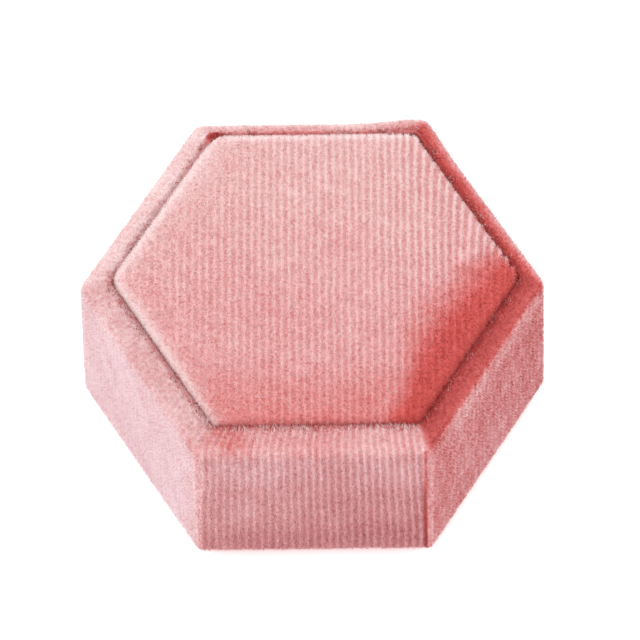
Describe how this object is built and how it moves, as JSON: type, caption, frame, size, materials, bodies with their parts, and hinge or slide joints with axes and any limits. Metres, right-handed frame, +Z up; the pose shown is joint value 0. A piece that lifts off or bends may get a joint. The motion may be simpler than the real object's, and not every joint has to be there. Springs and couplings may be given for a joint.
{
  "type": "jewelry box",
  "caption": "Low hexagonal box with a lift-off lid covered in ribbed velvet, a raised padded top panel, and a slotted ring cushion inside.",
  "frame": {"origin": "middle of the underside, on the surface the box stands on", "axes": "+Z up; +X through two opposite corners; +Y square to two opposite flat sides"},
  "size_m": [0.09, 0.078, 0.0398],
  "materials": {
    "ribbed_velvet": "ribbed pile",
    "short_velvet": "short pile",
    "satin": "satin",
    "foam": "matt",
    "wool_felt": "matt",
    "flocked_paper": "matt",
    "greyboard": "matt"
  },
  "bodies": {
    "base": {"base_felt": "wool_felt", "base_board": "greyboard", "base_wrap": "flocked_paper", "collar_board": "greyboard", "collar_velvet": "short_velvet", "tray_card": "greyboard", "front_roll_foam": "foam", "middle_roll_foam": "foam", "back_roll_foam": "foam", "front_roll_cover": "short_velvet", "middle_roll_cover": "short_velvet", "back_roll_cover": "short_velvet"},
    "lid": {"lid_wall_board": "greyboard", "lid_top_board": "greyboard", "lid_velvet": "ribbed_velvet", "panel_board": "greyboard", "panel_foam": "foam", "panel_velvet": "ribbed_velvet", "lid_lining_strip": "satin", "ceiling_card": "greyboard", "ceiling_wadding": "foam", "ceiling_satin": "satin"}
  },
  "joints": [
    {"name": "lid_lift", "type": "slide", "parent": "base", "child": "lid", "axis": [0, 0, 1], "range_m": [0, 0.045]}
  ]
}
